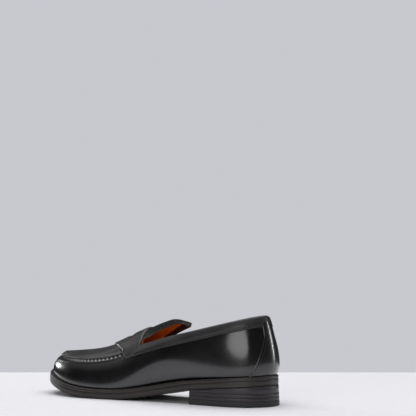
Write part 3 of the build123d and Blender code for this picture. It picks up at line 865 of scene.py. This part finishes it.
def build_strap():
    """The strap with its slot left open, and a row of stitches along each edge."""
    rows = spaced(26, 0.06)
    shares = STRAP_SHARE * rows
    end = np.array([0, 0.05, 0.15, 0.35, 0.6, 0.85])
    columns = np.concatenate([-2 + end, np.linspace(-1, 1, 61), 2 - end[::-1]])
    x, y, _, _ = apron_grid(shares, np.clip(columns, -1, 1))
    long_edges = rounded(np.minimum(rows, 1 - rows), 0.06)[:, None]
    end_edges = rounded(np.clip(2 - np.abs(columns), 0, 1), 0.2)[None, :]
    across = (y - crest_y(x)) / slot_half_width
    mouth = slot_half_length * np.clip(1 - across**2, 0, 1) ** 0.75
    gap = np.abs(x - slot_middle) - mouth
    in_slot = (gap < 0) & (np.abs(across) < 0.97) & (np.abs(columns)[None, :] < 1)
    lips = rounded(np.clip(gap, 0, 3) + 3 * (np.abs(across) > 1), 1.2)
    full = long_edges * end_edges * np.where(in_slot, 0, np.maximum(lips, 0.15))
    over = strap_net(shares, columns, 0.25 + strap_thickness * full)
    under = strap_net(shares, columns, 0.1 + 0 * full)

    def hole(i, j):
        """Whether all four corners of a cell are in the slot."""
        return bool(in_slot[i : i + 2, j : j + 2].all())

    piece = sheet("penny_strap", over, under, SOFT, skip=hole)
    finish_piece(piece, "black_calf", "penny_strap")
    dense = np.linspace(-1.6, 1.6, 200)
    for number, row in enumerate((0.09, 0.91)):
        line = strap_net(np.array([STRAP_SHARE * row] * 2), dense, 1.45 + np.zeros((2, 200)))[0]
        dots = walked(line, 2.3)
        steep = (np.abs(dots[:, 1]) > 24) * 0.8
        normals = np.column_stack([0 * steep, np.sign(dots[:, 1]) * steep, 1 + 0 * steep])
        thread = stitches(f"strap_stitches_{number + 1}", dots, normals, 1.7, 0.28, THREAD)
        finish_piece(thread, "black_calf")


def build_bar_tacks():
    """Tacking threads at the strap's ends: a cross in front, then along the end and up the back."""
    places = [(167.0, 0.5), (160.0, 8.5), (166.0, 7.5), (161.0, 0.5), (152.5, 8.5), (150.5, 1.0)]
    ends = []
    for outer in (True, False):
        corners = []
        for x, drop in places:
            wall = Wall(np.array([share_at(x, outer)]))
            corners.append(wall.at(rim(wall.foot[..., 0]) - drop, -1.9)[0])
        for a, b in ((0, 1), (2, 3), (1, 4), (4, 5)):
            run = corners[b] - corners[a]
            count = max(1, int(np.linalg.norm(run) / tack_pitch))
            for k in range(count):
                ends.append((corners[a] + run * (k + 0.1) / count, corners[a] + run * (k + 0.9) / count))
    return arched_threads("strap_bar_tacks", ends, 0.34, TACK)


def build_band():
    """The folded band round the topline: a flat strip outside that rolls over the edge and in."""
    u = np.linspace(throat_v - 1.004, throat_u + 0.004, 420)
    wall = Wall(u)
    z = rim(wall.foot[..., 0])
    thin = 1 - 0.6 * hill(wall.foot[..., 0], 0, 12)
    outside = [
        (-10.8, -0.4), (-10.8, 1.1), (-10.4, 1.6), (-9.7, 1.75), (-9.1, 1.25), (-8.5, 1.75),
        (-6, 1.95), (-3.5, 1.8), (-2.0, 1.45),
    ]
    inside = [(-2.6, leather + 3.3), (-4.6, leather + 3.1), (-5.0, leather + 2.6)]
    points = [wall.at(z + drop, -out * thin) for drop, out in outside]
    outer = wall.at(z - band_roll, -1.3 * thin)
    inner = wall.at(z - band_roll, leather + 3.0)
    for angle in np.linspace(15, 165, 9):
        a = math.radians(angle)
        blend = (1 - math.cos(a)) / 2
        p = outer * (1 - blend) + inner * blend
        p[..., 2] = (z - band_roll) + band_roll * math.sin(a) * 1.05
        points.append(p)
    points += [wall.at(z + drop, skin) for drop, skin in inside]
    over = np.stack(points, 1)
    core = (wall.at(z - 4.0, leather * 1.5))[:, None, :]
    piece = sheet("collar_band", over, over * 0.6 + core * 0.4, SOFT)
    finish_piece(piece, "black_calf", "collar_band")
    dots = walked(wall.at(z - 9.1, -1.45 * thin), 2.4)
    thread = stitches("band_stitches", dots, outward_of(dots), 1.8, 0.28, THREAD)
    finish_piece(thread, "black_calf")


def build_linings():
    """Tan linings inside the quarters and heel, in three pieces that overlap at their seams."""
    grip = share_at(heel_grip_reach, True)
    grip_inner = share_at(heel_grip_reach, False) - 1
    spans = {
        "heel_grip_lining": (grip_inner - 0.004, grip + 0.004, 3.0),
        "quarter_lining_outer": (grip - 0.002, throat_u + 0.03, 2.6),
        "quarter_lining_inner": (throat_v - 1.03, grip_inner + 0.002, 2.6),
    }
    w = np.linspace(0, 1, 24)
    for name, (first, last, skin) in spans.items():
        u = np.linspace(first, last, 120)
        wall = Wall(u[:, None] + 0 * w[None, :])
        low = wall.base + 5
        z = low + (rim(wall.foot[..., 0]) - 2.6 - low) * w[None, :]
        ease = 0.15 * np.sin(u * 300)[:, None] * hill(w, 0.6, 0.4)[None, :]
        over = wall.at(z, skin + 1.1 + ease)
        under = wall.at(z, skin)
        piece = sheet(name + "_visual", over, under, TAN)
        finish_piece(piece, "tan_lining", name)


# ======== tongue ========
def tongue_at(shares, across, skin):
    """A point of the tongue: shares run from under the strap to the free end, across from -1 to 1."""
    shares = np.clip(shares, 0, 1)
    tip = np.where(across > 0, tongue_tip - 2.5, tongue_tip)
    half = tongue_root + (tip - tongue_root) * (1 - (1 - shares) ** 3)
    bow = tongue_root_bow * (1 - shares) ** 1.2
    x = throat_x + tongue_under - shares * (tongue_reach + tongue_under) - bow * np.abs(across) ** 1.8
    y = crest_y(throat_x) + half * across
    p = roof_at(x, y, skin)
    flat = np.clip((throat_x - tongue_droop_from - x) / 10, 0, None) ** 2 * tongue_droop
    p[..., 2] -= flat * (1 - across**2) - 0.25 * flat * across**2
    return p


def tongue_net(shares, columns, skin):
    """The tongue's points at every share and column."""
    across = columns[None, :] + 0 * shares[:, None]
    return tongue_at(shares[:, None] + 0 * across, across, skin + 0 * across)


def blend_piece(piece, name):
    """Bakes a piece's placement into its mesh and hides the node it stands for."""
    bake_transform(piece)
    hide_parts(name)


def build_tongue():
    """The tongue and its lining."""
    shares = spaced(40, 0.03)
    columns = 2 * spaced(30, 0.04) - 1
    side = np.minimum((1 - np.abs(columns))[None, :] / 0.06 + 0 * shares[:, None], 1)
    free = np.minimum((1 - shares)[:, None] / 0.04 + 0 * side, 1)
    soft = rounded(np.minimum(side, free), 1)
    layers = [
        ("tongue", 0.96 * (1 - soft), 1.5, CALF, "black_calf", shares, columns),
        ("tongue_lining", 1.5, 2.6, TAN, "tan_lining", shares * 0.97, columns * 0.965),
    ]
    for name, outer, inner, made, slot, rows, cols in layers:
        over = tongue_net(rows, cols, outer)
        under = tongue_net(rows, cols, inner)
        piece = sheet(name + "_visual", over, under, made)
        blend_piece(piece, name)


def build_tongue_binding():
    """The black edge turned in under the tongue's sides and free end."""
    depth = 0.235
    t = np.linspace(0, 1, 160)
    width = spaced(8, 0.12)
    corner = 0.35
    first, last = t < corner, t > 1 - corner
    up_side = 0.12 + 0.88 * t / corner
    down_side = 0.12 + 0.88 * (1 - t) / corner
    over_end = -1 + 2 * (t - corner) / (1 - 2 * corner)
    along = np.where(first, up_side, np.where(last, down_side, 1.0))
    across = np.where(first, -1.0, np.where(last, 1.0, over_end))
    for _ in range(5):
        along[1:-1] = (along[:-2] + along[1:-1] + along[2:]) / 3
        across[1:-1] = (across[:-2] + across[1:-1] + across[2:]) / 3
    inward_along = -depth * np.clip((along - 0.3) / 0.7, 0, 1)
    inner_along = along + inward_along * (1 - np.abs(across) ** 6 * 0.35)
    inner_across = across * (1 - 0.2 - 0.16 * np.clip((along - 0.5) / 0.5, 0, 1))
    rows = along[:, None] * (1 - width) + inner_along[:, None] * width
    cols = across[:, None] * (1 - width) + inner_across[:, None] * width
    lump = rounded(np.minimum(width, 1 - width), 0.12)[None, :]
    over = tongue_at(rows, cols, 2.7 + 0.8 * lump)
    under = tongue_at(rows, cols, 1.2 + 0 * rows)
    piece = sheet("tongue_binding_visual", over, under, SOFT)
    blend_piece(piece, "tongue_binding")


# ======== bottom ========
LEVELS = {"sole": sole_bottom, "ground": lambda x: 0 * x}


def bridge(start, end, level, offset):
    """Rows of points across the shoe between two rows, at a height over a level."""
    rows = []
    for s in np.linspace(0, 1, 12)[1:-1]:
        p = start * (1 - s) + end * s
        p[:, 2] = LEVELS[level](p[:, 0]) + offset
        rows.append(p)
    return rows


def slab_solid(name, u_outer, u_inner, profile, made):
    """A slab filled across the shoe. The profile goes up: (inset from the edge, level, offset)."""
    sides = []
    for u in (u_outer, u_inner):
        edge, inward = around(u)
        columns = []
        for inset, level, offset in profile:
            p = edge + inward * inset
            columns.append(np.column_stack([p, LEVELS[level](p[:, 0]) + offset]))
        sides.append(columns)
    outer, inner = sides
    top = bridge(outer[-1], inner[-1], *profile[-1][1:])
    bottom = bridge(inner[0], outer[0], *profile[0][1:])
    return band_solid(name, outer + top + inner[::-1] + bottom, made, close_all=False)


def sole_line(u, inset, height):
    """Points along the sole's edge, `inset` inside it and `height` over the sole's bottom."""
    edge, inward = around(u)
    p = edge + inward * inset
    return np.column_stack([p, sole_bottom(p[:, 0]) + height])


def build_outsole():
    """The outsole, its edge rounded below and above, with a fine line run along it."""
    u = np.linspace(0.0004, 0.4996, 260)
    profile = [
        (3.2, "sole", 0.0), (1.6, "sole", 0.05), (0.9, "sole", 0.35), (0.35, "sole", 0.9),
        (0.1, "sole", 1.3), (0.42, "sole", 1.55), (0.3, "sole", 2.2), (0.18, "sole", 4.2),
        (0.22, "sole", 5.6), (0.5, "sole", 6.25), (0.9, "sole", outsole_thickness),
    ]
    piece = slab_solid("outsole_visual", u, 1 - u, profile, SOLE)
    finish_piece(piece, "sole_leather", "outsole")


def build_welt():
    """The welt round the front and the rand round the heel, and the sole's two rows of stitches."""
    welt_x = heel_breast_at + 1
    profile = [
        (welt_width, outsole_thickness), (0.9, outsole_thickness), (0.45, 6.6), (0.25, 7.2),
        (0.3, 8.8), (0.7, 9.7), (1.4, sole_edge), (3.2, 9.95), (5.2, 9.7), (welt_width, 9.4),
    ]
    for name, start, end in (
        ("welt", share_at(welt_x, True), share_at(welt_x, False)),
        ("heel_rand", share_at(welt_x, False) - 1, share_at(welt_x, True)),
    ):
        u = np.linspace(start + 0.0002, end - 0.0002, 420)
        columns = [sole_line(u, inset, height) for inset, height in profile]
        strip = band_solid(name + "_visual", columns, SOLE, close_all=False)
        finish_piece(strip, "sole_leather", name)
    u = np.linspace(share_at(welt_x + 6, True), share_at(welt_x + 6, False), 900)
    for name, inset, height, up in (("welt_stitches", 2.1, 10.02, 1), ("sole_stitches", 4.0, 0.02, -1)):
        dots = walked(sole_line(u, inset, height), 3.0)
        normals = np.tile([0, 0, float(up)], (len(dots), 1))
        thread = stitches(name, dots, normals, 2.4, 0.42, WELT_THREAD, sink=0.6)
        finish_piece(thread, "sole_leather")


def build_heel():
    """The stacked heel, each lift a slab with a scored joint between it and the next."""
    count = 120
    u = np.linspace(0.0004, share_at(heel_breast_at, True), count)
    v = 1 - np.linspace(0.0004, 1 - share_at(heel_breast_at, False), count)

    def out(z):
        """The inset at height z, negative where the heel flares past the sole's edge."""
        return -heel_flare * (1 - z / heel_back_height)

    pieces = [
        ("heel_top_piece", 0, top_piece, RUBBER, "top_piece_rubber"),
        ("heel_lift_1", top_piece, top_piece + lift, LIFT, "lift_leather"),
        ("heel_lift_2", top_piece + lift, top_piece + 2 * lift, LIFT, "lift_leather"),
    ]
    for name, low, high, made, slot in pieces:
        middle = (low + high) / 2
        profile = [
            (out(low) + 1.2, "ground", low), (out(low) + 0.35, "ground", low + 0.12),
            (out(low) + 0.12, "ground", low + 0.4), (out(middle), "ground", middle),
            (out(high) + 0.1, "ground", high - 0.3), (out(high) + 0.35, "ground", high - 0.08),
            (out(high) + 1.2, "ground", high),
        ]
        piece = slab_solid(name + "_visual", u, v, profile, made)
        finish_piece(piece, slot, name)
    low = top_piece + 2 * lift
    profile = [
        (1.2, "ground", low), (0.3, "ground", low + 0.1), (0.1, "ground", low + 0.4),
        (0.05, "sole", -0.5), (0.35, "sole", -0.1), (1.2, "sole", 0.0),
    ]
    piece = slab_solid("heel_wedge_lift_visual", u, v, profile, LIFT)
    finish_piece(piece, "lift_leather", "heel_wedge_lift")


def build_sock():
    """The tan sock over the insole."""
    u = np.linspace(0.002, 0.498, 160)
    profile = [
        (sock_inset + 1.5, "sole", 17.0), (sock_inset + 0.6, "sole", 17.2),
        (sock_inset + 0.4, "sole", 17.8), (sock_inset + 0.9, "sole", 18.3),
        (sock_inset + 2.0, "sole", 18.4),
    ]
    piece = slab_solid("sock_visual", u, 1 - u, profile, TAN)
    finish_piece(piece, "tan_lining", "sock")


# ======== floor, light and camera ========
AWAY = Vector((math.sin(yaw), -math.cos(yaw), 0))
RIGHT = Vector((-math.cos(yaw), -math.sin(yaw), 0))
UP = Vector((0, 0, 1))


def build_stage():
    """The floor, which ends a little behind the shoe, where the backdrop shows."""
    made = material("floor_paint", (0.86, 0.86, 0.89), 0.55)
    grain = textured(made, mapped(made), "Noise", Scale=120.0, Detail=4.0)
    varied(made, grain, ((0.84, 0.84, 0.87), (0.88, 0.88, 0.91)), (0.5, 0.62))
    corners = [
        AWAY * floor_back - RIGHT * floor_side,
        AWAY * floor_back + RIGHT * floor_side,
        -AWAY * floor_front + RIGHT * floor_side,
        -AWAY * floor_front - RIGHT * floor_side,
    ]
    mesh = bpy.data.meshes.new("floor")
    mesh.from_pydata([(*c.xy, 0.0) for c in corners], [], [(0, 1, 2, 3)])
    mesh.materials.append(made)
    added("floor", mesh)


def build_camera():
    """The camera in the place from which the photograph was taken, as fitted."""
    data = bpy.data.cameras.new("camera")
    data.sensor_width = camera_sensor
    data.lens = camera_lens
    data.clip_start = 0.01
    camera = added("camera", data)
    look = AWAY * math.cos(pitch) + UP * math.sin(pitch)
    camera.location = Vector(place(camera_at))
    camera.rotation_mode = "QUATERNION"
    camera.rotation_quaternion = look.to_track_quat("-Z", "Y")
    bpy.context.scene.camera = camera


def area(name, at, target, size, power, shape="ELLIPSE"):
    """An area light at a place, facing a target; sizes in metres, power in watts."""
    data = bpy.data.lights.new(name, "AREA")
    data.shape = shape
    data.size, data.size_y = size
    data.energy = power
    light = added(name, data)
    light.location = Vector(at)
    light.rotation_mode = "QUATERNION"
    light.rotation_quaternion = (Vector(target) - Vector(at)).to_track_quat("-Z", "Y")


def build_light():
    """A big soft light overhead, a strip by the heel, a window by the toe, a glow on the quarter."""
    area("overhead", UP * 1.5 + AWAY * 0.25, (0, 0, 0), (2.2, 1.6), 23, "RECTANGLE")
    heel = Vector(place([4, 2, 62]))
    toe = Vector(place([264, 32, 32]))
    quarter = Vector(place([22, 28, 61]))
    by_heel = heel + (RIGHT * 0.95 + AWAY * 0.25 + UP * 0.19) * 1.2
    by_toe = toe + (-RIGHT * 0.65 + AWAY * 0.71 + UP * 0.26) * 1.2
    in_front = quarter + (-RIGHT * 0.38 - AWAY * 0.86 + UP * 0.32) * 1.3
    area("heel_strip", by_heel, heel, (0.05, 0.5), 1.8)
    area("toe_window", by_toe, toe, (0.18, 0.18), 2.0)
    area("quarter_glow", in_front, quarter, (1.4, 0.5), 4.6)


def build_world():
    """One pale colour where the camera sees it; what the leather reflects is dark but overhead."""
    world = bpy.data.worlds.new("studio")
    bpy.context.scene.world = world
    world.use_nodes = True
    tree = world.node_tree
    tree.nodes.clear()
    new = tree.nodes.new
    out = new("ShaderNodeOutputWorld")
    shown = new("ShaderNodeBackground")
    shown.inputs["Color"].default_value = (0.575, 0.58, 0.62, 1)
    lit = new("ShaderNodeBackground")
    ramp = new("ShaderNodeValToRGB")
    ramp.color_ramp.elements[0].position = 0.76
    ramp.color_ramp.elements[0].color = (0.03, 0.028, 0.03, 1)
    ramp.color_ramp.elements[1].position = 0.95
    ramp.color_ramp.elements[1].color = (0.6, 0.6, 0.63, 1)
    where = new("ShaderNodeTexCoord")
    split = new("ShaderNodeSeparateXYZ")
    half = new("ShaderNodeMath")
    half.operation = "MULTIPLY_ADD"
    half.inputs[1].default_value = 0.5
    half.inputs[2].default_value = 0.5
    paths = new("ShaderNodeLightPath")
    mix = new("ShaderNodeMixShader")
    join = tree.links.new
    join(where.outputs["Generated"], split.inputs[0])
    join(split.outputs["Z"], half.inputs[0])
    join(half.outputs[0], ramp.inputs[0])
    join(ramp.outputs[0], lit.inputs["Color"])
    join(paths.outputs["Is Camera Ray"], mix.inputs[0])
    join(lit.outputs[0], mix.inputs[1])
    join(shown.outputs[0], mix.inputs[2])
    join(mix.outputs[0], out.inputs[0])
    bpy.context.scene.view_settings.view_transform = "Standard"


dress_frame_nodes()
build_vamp()
build_backstay()
build_apron()
build_apron_ridge()
build_apron_threads()
build_strap()
build_bar_tacks()
build_band()
build_linings()
build_tongue()
build_tongue_binding()
build_outsole()
build_welt()
build_heel()
build_sock()
build_stage()
build_camera()
build_light()
build_world()
